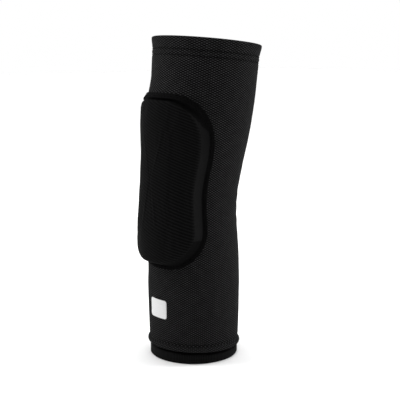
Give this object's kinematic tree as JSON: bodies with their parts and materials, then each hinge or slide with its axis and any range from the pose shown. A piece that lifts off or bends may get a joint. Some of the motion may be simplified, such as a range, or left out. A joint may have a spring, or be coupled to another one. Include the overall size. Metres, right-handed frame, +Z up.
{
  "type": "padded elbow sleeve",
  "caption": "Pull-on black knit elbow sleeve with a raised moulded foam pad over the elbow point, a stitched upper hem and an elastic forearm cuff.",
  "frame": {"origin": "centre of the forearm opening, in the plane of the cuff's rim", "axes": "+Z up along the forearm from the cuff towards the elbow; the pad (elbow point) faces -X, the crook of the elbow faces +X, and the upper arm leans 6 degrees towards +X at rest; +Y is the elbow's hinge axis"},
  "size_m": [0.1159, 0.0956, 0.2791],
  "materials": {
    "sleeve_knit": "matt black pique knit with a little stretch sheen",
    "cuff_knit": "smooth black elastic knit",
    "pad_cloth": "finely ribbed black stretch cloth",
    "gusset_knit": "smooth dark grey-black stretch cloth",
    "border_cloth": "flat black stretch cloth",
    "foam": "closed-cell moulded foam, dark grey",
    "elastic_tape": "woven elastic tape, off-white",
    "thread": "black polyester thread",
    "patch_film": "plain matt heat-pressed film"
  },
  "bodies": {
    "forearm_half": {"forearm_sleeve": "sleeve_knit", "elbow_sleeve": "sleeve_knit", "cuff_elastic": "elastic_tape", "cuff_seam_thread": "thread", "forearm_cuff_band": "cuff_knit", "pad_foam_core": "foam", "pad_cover": "pad_cloth", "pad_side_gusset": "gusset_knit", "pad_flange": "border_cloth", "pad_edge_stitches": "thread", "pad_flange_stitches": "thread", "blank_patch": "patch_film", "forearm_seam": "sleeve_knit", "elbow_seam": "sleeve_knit"},
    "upper_arm_half": {"upper_sleeve": "sleeve_knit", "upper_hem_elastic": "elastic_tape", "upper_hem_stitch_one": "thread", "upper_hem_stitch_two": "thread", "upper_seam": "sleeve_knit"}
  },
  "joints": [
    {"name": "elbow_bend", "type": "hinge", "parent": "forearm_half", "child": "upper_arm_half", "pos_m": [0.008, 0, 0.132], "axis": [0, 1, 0], "range_deg": [-6, 95], "stiffness_Nm_per_rad": 0.3, "deforming": ["elbow_sleeve", "elbow_seam", "pad_foam_core", "pad_cover", "pad_side_gusset", "pad_flange", "pad_edge_stitches", "pad_flange_stitches"]}
  ]
}
